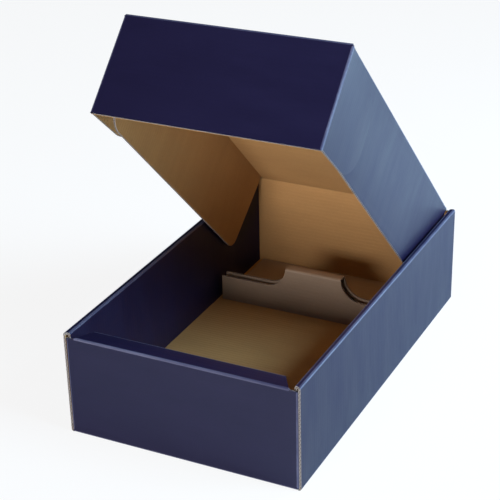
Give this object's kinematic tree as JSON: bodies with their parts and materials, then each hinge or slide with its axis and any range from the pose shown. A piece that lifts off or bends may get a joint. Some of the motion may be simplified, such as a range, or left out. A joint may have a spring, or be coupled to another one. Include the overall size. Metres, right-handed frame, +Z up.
{
  "type": "bottle shipping box",
  "caption": "Folded corrugated mailer box for bottles that lie side by side, with rolled double side walls, a hinged tuck-in lid and a folded cradle with two rounded notches.",
  "frame": {"origin": "middle of the tray's underside", "axes": "X across the box, +Y from the hollow front wall to the wall that carries the lid, +Z up"},
  "size_m": [0.19, 0.32, 0.2965],
  "materials": {
    "tray_board": "satin film-laminated print outside",
    "lid_board": "satin film-laminated print outside",
    "cradle_board": "plain kraft"
  },
  "bodies": {
    "tray_body": {"tray": "tray_board", "cradle": "cradle_board"},
    "lid_body": {"lid": "lid_board"}
  },
  "joints": [
    {"name": "lid_hinge", "type": "hinge", "parent": "tray_body", "child": "lid_body", "pos_m": [0, 0.1592, 0.0842], "axis": [-1, 0, 0], "range_deg": [-44.5, 135.5]}
  ]
}
